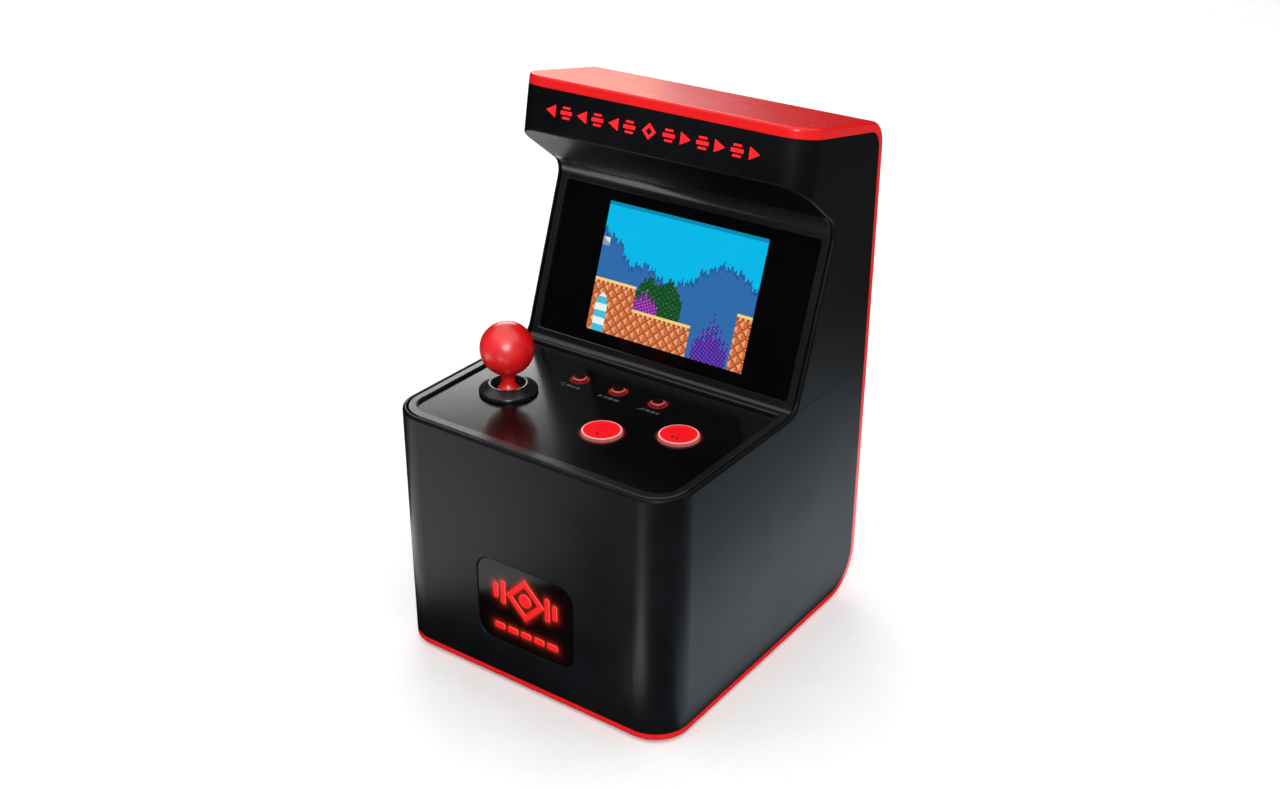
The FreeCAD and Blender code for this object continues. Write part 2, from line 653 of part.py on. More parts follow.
# ---------------------------------------------------------------- boards
def main_board():
    board = slab(rounded(-BOARD_HALF_X, BOARD_HALF_X, BOARD_FRONT, BOARD_REAR, 5.0), BOARD_Z, BOARD_TOP)
    holes = [rod((x, y, 0), (x, y, DECK_Z), 1.2) for x, y in POST_SPOTS]
    return board.cut(holes)


def main_chips():
    """Processor, memory, amplifier and the ribbon's connector, under the board."""
    low = BOARD_Z - 1.2
    top = BOARD_Z - 0.02
    processor = box(-6, 8, -26, -12, low, top)
    memory = box(14, 22, -30, -19, low, top)
    amplifier = box(-24, -18, -12, -7, low, top)
    crystal = box(-14, -10, -20, -15, BOARD_Z - 1.8, top)
    connector = box(-9, 9, -3, 1.8, BOARD_Z - 1.6, top)
    return group([processor, memory, amplifier, crystal, connector])


def board_screws():
    screws = []
    for x, y in POST_SPOTS:
        head = rod((x, y, BOARD_Z - 1.3), (x, y, BOARD_Z - 0.02), 2.0)
        slot = box(x - 1.4, x + 1.4, y - 0.25, y + 0.25, BOARD_Z - 1.4, BOARD_Z - 0.8)
        shank = rod((x, y, BOARD_Z - 0.1), (x, y, BOARD_TOP + 5), 0.85)
        screws.append(joined([head, shank]).cut(slot))
    return group(screws)


def display_screws():
    screws = []
    for x, s in SCREEN_SCREW_SPOTS:
        head = Part.makeCylinder(1.5, 1.0, Vec(x, s, DISPLAY_BOARD_LOW - 1.05))
        shank = Part.makeCylinder(0.65, 5.2, Vec(x, s, DISPLAY_BOARD_LOW - 0.3))
        screws.append(placed(joined([head, shank]), ON_SCREEN))
    return group(screws)


# ---------------------------------------------------------------- badge and marquee
def badge_outline(clearance, z0, z1):
    half_x = BADGE_W / 2 + clearance
    half_z = BADGE_H / 2 + clearance
    return slab(rounded(-half_x, half_x, BADGE_Z - half_z, BADGE_Z + half_z, BADGE_R + clearance), z0, z1)


def badge_plate():
    plate = badge_outline(0, -BADGE_RECESS - BADGE_T, -BADGE_RECESS)
    return placed(chamfered(plate, -BADGE_RECESS, PANEL_CHAMFER), ON_FRONT)


def diamond(x, y, reach, z0, z1):
    return slab([(x - reach, y, 0), (x, y - reach, 0), (x + reach, y, 0), (x, y + reach, 0)], z0, z1)


def bar(x, y, half_x, half_y, radius, z0, z1):
    return slab(rounded(x - half_x, x + half_x, y - half_y, y + half_y, radius), z0, z1)


def badge_mark():
    """Generic ornament: a diamond ring round a dot, bars beside it and a row of dashes below."""
    low, high = -BADGE_RECESS + 0.01, -BADGE_RECESS + MARK_T
    emblem_z = BADGE_Z + 3.2
    ring = diamond(0, emblem_z, 6.2, low, high).cut(diamond(0, emblem_z, 4.3, low - 1, high + 1))
    marks = [ring, rod((0, emblem_z, low), (0, emblem_z, high), 1.9)]
    for side in (-1, 1):
        for step, tall in ((7.2, 3.4), (9.6, 2.2)):
            x = side * step
            marks.append(bar(x, emblem_z, 0.7, tall, 0.6, low, high))
    for k in range(-2, 3):
        marks.append(bar(4.3 * k, BADGE_Z - 7.5, 1.6, 0.8, 0.5, low, high))
    return placed(group(marks), ON_FRONT)


def badge_light_board():
    """Board on four posts behind the badge, which stand on the front wall's inside."""
    board = box(-14, 14, BADGE_Z - 11, BADGE_Z + 11, -6.2, -5.2)
    posts = []
    for x in (-12.2, 12.2):
        for z in (BADGE_Z - 9.8, BADGE_Z + 9.8):
            posts.append(Part.makeCylinder(1.5, 3.1, Vec(x, z, -5.3)))
    return placed(joined([board] + posts), ON_FRONT)


def badge_leds():
    chips = []
    for x in (-7, 0, 7):
        for z in (BADGE_Z - 5, BADGE_Z + 5):
            chips.append(bar(x, z, 1, 0.8, 0, -5.18, -4.4))
    return placed(group(chips), ON_FRONT)


def marquee_mark():
    """Generic ornament on the marquee: a row of bars, a diamond and arrows, a hair left of the middle."""
    low, high = 0.02, MARK_T
    middle = MARQUEE_LENGTH - 8.1
    marks = [diamond(-0.7, middle, 2.1, low, high).cut(diamond(-0.7, middle, 1.0, low - 1, high + 1))]
    for side in (-1, 1):
        for k in range(6):
            x = side * (6.0 + 5.0 * k) - 0.7
            if k % 2 == 0:
                marks.append(bar(x, middle, 1.8, 0.5, 0.2, low, high))
                for lift in (-1.3, 1.3):
                    marks.append(bar(x, middle + lift, 1.2, 0.3, 0.2, low, high))
            else:
                tip, tail = x + side * 1.5, x - side * 1.5
                arrow = [(tail, middle - 1.6, 0), (tip, middle, 0), (tail, middle + 1.6, 0)]
                marks.append(slab(arrow, low, high))
    return placed(group(marks), ON_MARQUEE)


# ---------------------------------------------------------------- speaker
def behind_grille(depth):
    return (0, INSIDE_BACK - depth, SPEAKER_Z)


def speaker_gasket():
    return tube(behind_grille(0.8), behind_grille(0.05), SPEAKER_R, SPEAKER_R - 2.2)


def speaker_basket():
    rim = tube(behind_grille(2.0), behind_grille(0.85), SPEAKER_R, SPEAKER_R - 2.0)
    bowl = Part.makeCone(8.5, SPEAKER_R - 1.0, 3.0, Vec(*behind_grille(5.0)), Vec(0, 1, 0))
    hollow = Part.makeCone(7.5, SPEAKER_R - 2.0, 3.0, Vec(*behind_grille(5.0)), Vec(0, 1, 0))
    return joined([rim, bowl.cut(hollow)])


def speaker_cone():
    outer = Part.makeCone(3.5, 11.7, 2.2, Vec(*behind_grille(3.1)), Vec(0, 1, 0))
    inner = Part.makeCone(3.0, 11.4, 2.2, Vec(*behind_grille(2.8)), Vec(0, 1, 0))
    return outer.cut(inner)


def speaker_magnet():
    magnet = rod(behind_grille(8.6), behind_grille(5.05), 8.0)
    pole = rod(behind_grille(5.2), behind_grille(4.0), 3.2)
    return joined([magnet, pole])


# ---------------------------------------------------------------- batteries
def cell_centres():
    return [CELL_LOW_Z + CELL_PITCH * k for k in range(4)]


def battery_tray():
    """Open-backed box for the cells, with two posts that carry the socket board."""
    half_x = CELL_LENGTH / 2 + 5.2
    low, high = CELL_LOW_Z - CELL_R - 1.6, CELL_LOW_Z + 3 * CELL_PITCH + CELL_R + 1.9
    shell_box = box(-half_x, half_x, CELL_Y - CELL_R - 1.5, INSIDE_BACK - 0.1, low, high)
    hollow = box(-half_x + 1.2, half_x - 1.2, CELL_Y - CELL_R - 0.3, REAR, low + 1.2, high - 1.2)
    posts = [rod((x, 36, high - 0.5), (x, 36, IO_Z - 0.02), 1.8) for x in (-27, 27)]
    return joined([shell_box.cut(hollow)] + posts)


def battery_cells():
    """Four AA cells side by side, the ends alternating."""
    cells = []
    for k, z in enumerate(cell_centres()):
        way = 1 if k % 2 == 0 else -1
        start = -way * CELL_LENGTH / 2
        can = rod((start, CELL_Y, z), (start + way * (CELL_LENGTH - 1), CELL_Y, z), CELL_R)
        nub_start = start + way * (CELL_LENGTH - 1.2)
        nub = rod((nub_start, CELL_Y, z), (start + way * CELL_LENGTH, CELL_Y, z), 2.7)
        cells.append(joined([can, nub]))
    return group(cells)


def battery_springs():
    """Tapered contact springs at the flat ends, each a stack of rings on a plate."""
    springs = []
    for k, z in enumerate(cell_centres()):
        way = 1 if k % 2 == 0 else -1
        for turn in range(4):
            x = -way * (CELL_LENGTH / 2 + 0.35 + 0.75 * turn)
            springs.append(Part.makeTorus(2.2 + 0.45 * turn, 0.3, Vec(x, CELL_Y, z), Vec(1, 0, 0)))
    return group(springs)


def battery_contacts():
    plates = []
    for k, z in enumerate(cell_centres()):
        for side in (-1, 1):
            x = side * (CELL_LENGTH / 2 + 3.4)
            plates.append(box(x - 0.2, x + 0.2, CELL_Y - 5, CELL_Y + 5, z - 5, z + 5))
        way = 1 if k % 2 == 0 else -1
        stud_end = way * (CELL_LENGTH / 2 + 0.02)
        plates.append(rod((stud_end, CELL_Y, z), (way * (CELL_LENGTH / 2 + 3.19), CELL_Y, z), 2.0))
    return group(plates)


def battery_door():
    """Red cover plate with a row of grip ribs and a screw hole."""
    door = battery_opening(0.15, INSIDE_BACK + 0.1, REAR)
    hole = rod((0, INSIDE_BACK, DOOR_SCREW_Z), (0, REAR + 1, DOOR_SCREW_Z), 1.3)
    sink = rod((0, REAR - 1.2, DOOR_SCREW_Z), (0, REAR + 1, DOOR_SCREW_Z), 2.4)
    grips = []
    for k in range(5):
        z = CELL_LOW_Z + 2 * k
        grips.append(box(-10, 10, REAR - 0.5, REAR + 1, z - 0.4, z + 0.4))
    return door.cut([hole, sink] + grips)


def cross_screw(x, z, head_y, length, head_r, shank_r):
    """Cross-head screw driven in from the rear."""
    head = rod((x, head_y - 1.1, z), (x, head_y, z), head_r)
    shank = rod((x, head_y - length, z), (x, head_y - 0.5, z), shank_r)
    slots = [box(x - 1.3, x + 1.3, head_y - 0.6, head_y + 1, z - 0.25, z + 0.25),
             box(x - 0.25, x + 0.25, head_y - 0.6, head_y + 1, z - 1.3, z + 1.3)]
    return joined([head, shank]).cut(slots)


def door_screw():
    return cross_screw(0, DOOR_SCREW_Z, REAR - 0.08, 3.2, 2.2, 1.1)


def case_screws():
    return group([cross_screw(x, z, REAR - 0.18, 10.0, 2.05, 0.85) for x, z in CASE_SCREW_SPOTS])


# ---------------------------------------------------------------- sockets, switch and feet
def io_board():
    return slab(rounded(-34, 34, 31.0, INSIDE_BACK - 0.3, 1.0), IO_Z, IO_Z + IO_T)


def headphone_jack():
    """Socket body with a round nose that fills the hole in the rear cover."""
    body = box(JACK_X - 3.1, JACK_X + 3.1, INSIDE_BACK - 11.5, INSIDE_BACK - 0.2, IO_TOP, JACK_Z + 2.8)
    nose = rod((JACK_X, INSIDE_BACK - 0.3, JACK_Z), (JACK_X, REAR, JACK_Z), 3.0)
    bore = rod((JACK_X, REAR - JACK_DEPTH, JACK_Z), (JACK_X, REAR + 1, JACK_Z), JACK_R)
    return joined([body, nose]).cut(bore)


def usb_socket():
    shell_box = box(USB_X - 3.9, USB_X + 3.9, INSIDE_BACK - 5.0, INSIDE_BACK + 1.2, IO_TOP, USB_Z + 1.35)
    mouth = box(USB_X - 3.5, USB_X + 3.5, INSIDE_BACK - 4.4, REAR, USB_Z - 1.0, USB_Z + 1.0)
    tongue = box(USB_X - 2.2, USB_X + 2.2, INSIDE_BACK - 4.6, INSIDE_BACK + 0.6, USB_Z - 0.3, USB_Z + 0.3)
    return joined([shell_box.cut(mouth), tongue])


def power_switch_body():
    case = box(SWITCH_X - 6.0, SWITCH_X + 6.0, INSIDE_BACK - 5.0, INSIDE_BACK - 0.3, IO_TOP, KNOB_Z + 1.9)
    track = box(SWITCH_X - 3.8, SWITCH_X + 3.8, INSIDE_BACK - 2.6, REAR, KNOB_Z - 0.95, KNOB_Z + 0.95)
    return case.cut(track)


def power_switch_knob():
    """Slider at the off end of its track, with grip ribs on its face."""
    x = SWITCH_X - SWITCH_TRAVEL / 2
    knob = box(x - 1.5, x + 1.5, INSIDE_BACK - 2.4, REAR + 0.5, KNOB_Z - 0.85, KNOB_Z + 0.85)
    ribs = []
    for across in (x - 0.8, x, x + 0.8):
        ribs.append(box(across - 0.2, across + 0.2, REAR + 0.2, REAR + 1, KNOB_Z - 2, KNOB_Z + 2))
    return knob.cut(ribs)


def rubber_feet():
    feet = []
    for x, y in FOOT_SPOTS:
        top = FEET_PROUD - 0.02
        section = [(0, -FEET_PROUD, 0), (FOOT_PAD_R, -FEET_PROUD, 0.4), (FOOT_PAD_R, top, 0), (0, top, 0)]
        feet.append(turned(section, (x, y)))
    return group(feet)


# ---------------------------------------------------------------- all nodes
def all_nodes():
    nodes = {make.__name__: make() for make in (
        rear_cover, lower_shell, upper_shell, face_frame,
        deck_panel, button_membrane, button_domes, button_leds,
        stick_ball, stick_shaft, stick_spring, stick_actuator, stick_dust_disc,
        gimbal_ring, stick_housing, stick_switches, stick_collar,
        bezel_plate, screen_lens, lcd_panel, lcd_backlight, lcd_frame, display_board, lcd_ribbon,
        main_board, main_chips, board_screws, display_screws,
        badge_plate, badge_mark, badge_light_board, badge_leds, marquee_mark,
        speaker_gasket, speaker_basket, speaker_cone, speaker_magnet,
        battery_tray, battery_cells, battery_springs, battery_contacts, battery_door, door_screw,
        io_board, headphone_jack, usb_socket, power_switch_body, power_switch_knob,
        case_screws, rubber_feet,
    )}
    for name, spot in BIG_BUTTONS.items():
        nodes[name] = big_button(spot)
    for name, spot in SMALL_BUTTONS.items():
        nodes[name] = small_button(spot)
    return nodes


os.makedirs("parts", exist_ok=True)
for name, shape in all_nodes().items():
    lifted = shape.translated(Vec(0, 0, FEET_PROUD))
    lifted.exportStep("parts/" + name + ".step")
    size = lifted.BoundBox
    print(name, len(lifted.Solids), "solids", "valid" if lifted.isValid() else "INVALID",
          round(lifted.Volume), "mm3,", round(size.ZMin, 1), "to", round(size.ZMax, 1))
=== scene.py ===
import json
import math

import bmesh
import bpy
from mathutils import Euler, Matrix, Vector
from mathutils.bvhtree import BVHTree


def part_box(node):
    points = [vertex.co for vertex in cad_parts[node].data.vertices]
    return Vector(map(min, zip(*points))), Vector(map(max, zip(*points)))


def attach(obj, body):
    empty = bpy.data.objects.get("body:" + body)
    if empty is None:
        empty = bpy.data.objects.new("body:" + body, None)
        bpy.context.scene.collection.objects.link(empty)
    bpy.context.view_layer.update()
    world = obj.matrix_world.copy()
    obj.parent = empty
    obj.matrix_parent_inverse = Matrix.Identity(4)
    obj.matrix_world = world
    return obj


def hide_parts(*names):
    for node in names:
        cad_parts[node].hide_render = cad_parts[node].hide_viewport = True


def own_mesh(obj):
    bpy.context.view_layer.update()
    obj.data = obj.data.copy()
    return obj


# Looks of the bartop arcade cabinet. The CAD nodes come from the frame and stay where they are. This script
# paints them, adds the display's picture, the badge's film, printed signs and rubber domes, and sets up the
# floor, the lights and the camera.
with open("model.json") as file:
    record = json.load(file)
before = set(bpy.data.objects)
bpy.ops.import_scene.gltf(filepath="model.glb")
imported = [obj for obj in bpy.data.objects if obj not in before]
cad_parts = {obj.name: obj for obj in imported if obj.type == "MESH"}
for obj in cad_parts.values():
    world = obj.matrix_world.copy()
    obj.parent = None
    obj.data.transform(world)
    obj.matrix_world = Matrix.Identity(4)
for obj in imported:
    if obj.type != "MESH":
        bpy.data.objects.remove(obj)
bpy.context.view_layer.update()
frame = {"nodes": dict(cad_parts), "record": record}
NODES = frame["nodes"]
SLOT_OF = {part["node"]: part["material_slot"] for part in frame["record"]["subparts"]}
BIG_BUTTONS = ("button_a", "button_b")
SMALL_BUTTONS = ("reset_button", "start_button", "sound_button")
MM = 0.001


# ---------------------------------------------------------------- places read from the frame
def centre(node):
    low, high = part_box(node)
    return (low + high) / 2


def top(node):
    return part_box(node)[1].z


class Face:
    """Flat layout (x, up the face, outward) on the largest flat side that a node turns to the player."""

    def __init__(self, node):
        mesh = NODES[node].data
        slack = 0.02 * MM
        towards_player = [p for p in mesh.polygons if p.normal.y < -0.2]
        largest = max(towards_player, key=lambda p: p.area)
        self.out = largest.normal.copy()
        self.up = (Vector((0, 0, 1)) - self.out * self.out.z).normalized()
        level = self.out.dot(mesh.vertices[largest.vertices[0]].co)
        flat = [p for p in towards_player if p.normal.dot(self.out) > 0.9999]
        corners = [mesh.vertices[i].co for p in flat for i in p.vertices]
        corners = [c for c in corners if abs(self.out.dot(c) - level) < slack]
        self.half_x = max(c.x for c in corners)
        ups = [self.up.dot(c) for c in corners]
        self.half_up = (max(ups) - min(ups)) / 2
        self.origin = self.up * (max(ups) + min(ups)) / 2 + self.out * level

    def lay(self, mesh):
        """Moves a mesh drawn flat in (x, y, z) onto the face."""
        mesh.transform(Matrix((
            (1, 0, 0, 0),
            (0, self.up.y, self.out.y, self.origin.y),
            (0, self.up.z, self.out.z, self.origin.z),
            (0, 0, 0, 1),
        )))


# ---------------------------------------------------------------- shader helpers
class Shader:
    """A principled material with short ways to add the nodes that vary it."""

    def __init__(self, name, roughness=0.4, metallic=0.0, specular=0.5):
        self.material = bpy.data.materials.new(name)
        self.material.use_nodes = True
        self.tree = self.material.node_tree
        self.principled = self.tree.nodes["Principled BSDF"]
        self.set("Roughness", roughness)
        self.set("Metallic", metallic)
        self.set("Specular IOR Level", specular)
        self.place = self.tree.nodes.new("ShaderNodeTexCoord").outputs["Object"]

    def set(self, socket, value):
        self.principled.inputs[socket].default_value = value

    def link(self, output, socket):
        self.tree.links.new(output, socket)

    def new(self, kind, **settings):
        node = self.tree.nodes.new(kind)
        for key, value in settings.items():
            setattr(node, key, value)
        return node

    def noise(self, size, detail=3.0):
        """Noise whose features are about size metres across."""
        noise = self.new("ShaderNodeTexNoise")
        noise.inputs["Scale"].default_value = 1.0 / size
        noise.inputs["Detail"].default_value = detail
        self.link(self.place, noise.inputs["Vector"])
        return noise.outputs["Fac"]

    def ramp(self, factor, stops):
        """Colour ramp over a factor; stops are (position, colour)."""
        ramp = self.new("ShaderNodeValToRGB")
        while len(ramp.color_ramp.elements) < len(stops):
            ramp.color_ramp.elements.new(0.5)
        for element, (position, colour) in zip(ramp.color_ramp.elements, stops):
            element.position = position
            element.color = (*colour[:3], 1)
        self.link(factor, ramp.inputs["Fac"])
        return ramp.outputs["Color"]

    def span(self, factor, low, high, from_low=0.0, from_high=1.0):
        """Maps from_low..from_high to low..high and stays within it."""
        scale = self.new("ShaderNodeMapRange")
        scale.inputs["From Min"].default_value = from_low
        scale.inputs["From Max"].default_value = from_high
        scale.inputs["To Min"].default_value = low
        scale.inputs["To Max"].default_value = high
        self.link(factor, scale.inputs["Value"])
        return scale.outputs["Result"]

    def math(self, operation, first, second=None):
        """Math node; each value is a number or another node's output."""
        node = self.new("ShaderNodeMath", operation=operation)
        for socket, value in zip(node.inputs, (first, second)):
            if value is None:
                continue
            if isinstance(value, (int, float)):
                socket.default_value = value
            else:
                self.link(value, socket)
        return node.outputs["Value"]

    def coordinate(self, axis):
        split = self.new("ShaderNodeSeparateXYZ")
        self.link(self.place, split.inputs["Vector"])
        return split.outputs[axis]

    def radius(self, middle):
        """Distance from an upright axis through a point."""
        flat = self.new("ShaderNodeVectorMath", operation="MULTIPLY")
        self.link(self.place, flat.inputs[0])
        flat.inputs[1].default_value = (1, 1, 0)
        reach = self.new("ShaderNodeVectorMath", operation="DISTANCE")
        self.link(flat.outputs["Vector"], reach.inputs[0])
        reach.inputs[1].default_value = (middle.x, middle.y, 0)
        return reach.outputs["Value"]

    def attribute(self, name, output="Color"):
        return self.new("ShaderNodeAttribute", attribute_name=name).outputs[output]

    def colour(self, output):
        self.link(output, self.principled.inputs["Base Color"])

    def roughness(self, output):
        self.link(output, self.principled.inputs["Roughness"])

    def glow(self, output, strength):
        self.link(output, self.principled.inputs["Emission Color"])
        self.set("Emission Strength", strength)

    def bump(self, height, depth):
        """Bump of a real depth in metres."""
        bump = self.new("ShaderNodeBump")
        bump.inputs["Distance"].default_value = depth
        bump.inputs["Strength"].default_value = 1.0
        self.link(height, bump.inputs["Height"])
        self.link(bump.outputs["Normal"], self.principled.inputs["Normal"])


def shades(colour, vary):
    """Darker and lighter versions of a colour."""
    return [c * (1 - vary) for c in colour], [min(1, c * (1 + vary)) for c in colour]


CLOUD_SIZE = 18 * MM          # slow changes of tone in moulded plastic
CLOUD_SHARE = 0.55            # how much of the change of tone they make; the fine grain makes the rest
SMUDGE_SIZE = 9 * MM          # smudges on polished plastic
WAVE_SIZE = 14 * MM           # slow waviness of polished plastic


def moulded(name, colour, roughness, grain=0.25 * MM, depth=0.004 * MM, vary=0.25, uneven=0.15, **look):
    """Moulded plastic: fine spark-eroded grain, and slow changes of tone and gloss."""
    shader = Shader(name, roughness=roughness, **look)
    slow = shader.noise(CLOUD_SIZE, detail=4)
    fine = shader.noise(grain, detail=2)
    mixed = shader.math("ADD", shader.math("MULTIPLY", slow, CLOUD_SHARE),
                        shader.math("MULTIPLY", fine, 1 - CLOUD_SHARE))
    dark, light = shades(colour, vary)
    shader.colour(shader.ramp(mixed, [(0.38, dark), (0.62, light)]))
    shader.roughness(shader.span(mixed, roughness * (1 - uneven), roughness * (1 + uneven), 0.35, 0.65))
    if depth:
        shader.bump(fine, depth)
    return shader


def polished(name, colour, roughness=0.06, wave=0.002 * MM, smear=0.3, **look):
    """Polished plastic or acrylic: faint smudges in the gloss and slow waviness."""
    shader = Shader(name, roughness=roughness, **look)
    smudge = shader.noise(SMUDGE_SIZE, detail=2)
    dark, light = shades(colour, 0.15)
    shader.colour(shader.ramp(smudge, [(0.3, dark), (0.7, light)]))
    shader.roughness(shader.span(smudge, roughness * (1 - smear), roughness * (1 + smear), 0.3, 0.7))
    shader.bump(shader.noise(WAVE_SIZE, detail=1), wave)
    return shader


# ---------------------------------------------------------------- materials
LIT_RED = (0.85, 0.009, 0.014)
# pale pink ring on a large cap's rim: a painted highlight
RIM_HIGHLIGHT_PINK = (1.0, 0.50, 0.48)
WALL_PINK = (0.26, 0.11, 0.09)
NO_LIGHT = (0, 0, 0)
BIG_GLOW, SMALL_GLOW = 0.95, 0.9      # brightness of the large and the small caps
BADGE_GLOW, PRINT_PAINTED_GLOW, PICTURE_GLOW = 0.95, 0.35, 1.04
# Painted glow on the deck round the buttons: emission that stands in for their light falling on it
PAINTED_GLOW_STRENGTH = 3.0
PAINTED_GLOW_REACH = 1.1 * MM              # how far the painted glow of a button's light reaches on the black deck round it
BIG_PAINTED_GLOW, SMALL_PAINTED_GLOW = 0.24, 0.36   # how strong it is at the edge of a large and a small cap
WALL_TOP, WALL_FOOT = 0.28 * MM, 0.50 * MM    # a large cap's face fades to its wall between these depths
ROW_LINES, ROW_DARKNESS = 700, 0.12   # fine lines between the display's rows of dots

# Glow of a cap from its middle (0) to its rim (1); the pale pink ring near a large cap's rim is a painted
# highlight
BIG_CAP_GLOW = [(0.0, (0.80, 0.006, 0.012)), (0.88, LIT_RED), (0.92, RIM_HIGHLIGHT_PINK), (0.955, RIM_HIGHLIGHT_PINK),
                (0.98, WALL_PINK), (1.0, WALL_PINK)]
SMALL_CAP_GLOW = [(0.0, (0.005, 0.0005, 0.0005)), (0.74, (0.012, 0.001, 0.001)), (0.82, (0.62, 0.17, 0.16)),
                  (0.89, (0.50, 0.08, 0.08)), (0.94, (0.17, 0.005, 0.007)), (1.0, (0.12, 0.003, 0.004))]


def plain_materials():
    """One material for each slot of the record, apart from the special cases below."""
    slots = {}
    slots["shell_black"] = moulded("shell_black", (0.0034, 0.0038, 0.0048), 0.37, grain=0.33 * MM,
                                   depth=0.010 * MM, vary=0.35, specular=0.13)
    slots["frame_black"] = moulded("frame_black", (0.0080, 0.0083, 0.0090), 0.23, specular=0.6)
    slots["red_cover"] = moulded("red_cover", (0.63, 0.006, 0.007), 0.27, grain=0.3 * MM, depth=0.0,
                                 vary=0.02, uneven=0.02, specular=0.4)
    slots["panel_gloss"] = polished("panel_gloss", (0.0016, 0.0017, 0.0019), 0.10, specular=0.3)
    slots["stick_red"] = polished("stick_red", (0.62, 0.004, 0.006), 0.30, specular=1.0)
    slots["button_red"] = polished("button_red", LIT_RED, 0.12)
    slots["button_dark"] = polished("button_dark", (0.02, 0.002, 0.002), 0.08)
    slots["mark_red"] = moulded("mark_red", LIT_RED, 0.4, vary=0.06, specular=0.2)
    slots["steel"] = moulded("steel", (0.42, 0.42, 0.43), 0.38, metallic=0.55, vary=0.1)
    slots["board_green"] = moulded("board_green", (0.012, 0.10, 0.035), 0.3)
    slots["chip_black"] = moulded("chip_black", (0.02, 0.02, 0.021), 0.45)
    slots["switch_grey"] = moulded("switch_grey", (0.5, 0.5, 0.47), 0.4, vary=0.1)
    slots["rubber"] = moulded("rubber", (0.025, 0.025, 0.026), 0.75)
    slots["ribbon"] = moulded("ribbon", (0.55, 0.22, 0.03), 0.3)
    slots["magnet"] = moulded("magnet", (0.3, 0.3, 0.31), 0.35, metallic=0.9)
    slots["cell_wrap"] = moulded("cell_wrap", (0.03, 0.03, 0.032), 0.25)
    slots["display"] = polished("display", (0.004, 0.005, 0.006), 0.1, specular=0.05)
    return slots


def window_glass():
    glass = Shader("clear_glass", roughness=0.02, specular=0.35)
    glass.set("Transmission Weight", 1.0)
    glass.set("IOR", 1.33)
    glass.colour(glass.ramp(glass.noise(6 * MM), [(0.3, (0.96, 0.97, 0.98)), (0.7, (1, 1, 1))]))
    return glass


def deck_gloss():
    """Glossy deck with a painted glow round each button's hole, standing in for the button's light on the
    black.
    """
    shader = polished("deck_gloss", (0.0018, 0.0019, 0.0021), 0.16, wave=0.0005 * MM, smear=0.03,
                      specular=0.5)
    painted_glow = None
    for node in BIG_BUTTONS + SMALL_BUTTONS:
        strength = BIG_PAINTED_GLOW if node in BIG_BUTTONS else SMALL_PAINTED_GLOW
        edge = cap_radius(node)
        near = shader.span(shader.radius(centre(node)), strength, 0.0, edge, edge + PAINTED_GLOW_REACH)
        near = shader.math("POWER", near, 1.8)
        painted_glow = near if painted_glow is None else shader.math("ADD", painted_glow, near)
    shader.glow(shader.ramp(painted_glow, [(0.0, NO_LIGHT), (1.0, (1.0, 0.06, 0.03))]), PAINTED_GLOW_STRENGTH)
    return shader


def cap_radius(button):
    """Radius of a button's cap, read from the part of it that stands above the deck."""
    middle = centre(button)
    level = top("deck_panel")
    spots = [v.co for v in NODES[button].data.vertices if v.co.z > level]
    return max(math.hypot(p.x - middle.x, p.y - middle.y) for p in spots)


def lit_cap(button, stops, strength, body, wall=None):
    """Cap lit from inside: its colour changes from the middle to the rim, and may fade down its wall."""
    shader = Shader("lit_" + button, roughness=0.22, specular=0.12)
    across = shader.math("DIVIDE", shader.radius(centre(button)), cap_radius(button))
    cloudy = shader.math("ADD", across, shader.span(shader.noise(1.5 * MM), -0.012, 0.012))
    face = shader.ramp(cloudy, stops)
    if wall is not None:
        high = top(button)
        down = shader.span(shader.coordinate("Z"), 0.0, 1.0, high - WALL_FOOT, high - WALL_TOP)
        mix = shader.new("ShaderNodeMix", data_type="RGBA")
        mix.inputs["A"].default_value = (*wall, 1)
        shader.link(down, mix.inputs["Factor"])
        shader.link(face, mix.inputs["B"])
        face = mix.outputs["Result"]
    shader.glow(face, strength)
    dark, light = shades(body, 0.2)
    shader.colour(shader.ramp(shader.noise(3 * MM), [(0.3, dark), (0.7, light)]))
    return shader


def lit_badge():
    """Marks lit from behind, with a paler painted highlight on their cut edges."""
    shader = Shader("lit_badge", roughness=0.35, specular=0.08)
    split = shader.new("ShaderNodeSeparateXYZ")
    shader.link(shader.new("ShaderNodeNewGeometry").outputs["Normal"], split.inputs["Vector"])
    facing = shader.math("ABSOLUTE", split.outputs["Y"])
    # cut edges, which face away from the front, get the paler colour: a painted highlight
    shader.glow(shader.ramp(facing, [(0.5, (1.0, 0.20, 0.14)), (0.8, LIT_RED)]), BADGE_GLOW)
    dark, light = (0.10, 0.002, 0.003), (0.14, 0.003, 0.004)
    shader.colour(shader.ramp(shader.noise(2 * MM), [(0.3, dark), (0.7, light)]))
    return shader


def painted_glow_film():
    """Black film over the badge with a painted glow round the marks; an attribute on the film says how strong
    the glow is at each point.
    """
    shader = polished("badge_glow_film", (0.0012, 0.0012, 0.0014), 0.12, specular=0.15)
    amount = shader.attribute("painted_glow", "Fac")
    shader.glow(shader.ramp(amount, [(0.0, NO_LIGHT), (1.0, (1.0, 0.055, 0.02))]), 1.0)
    return shader


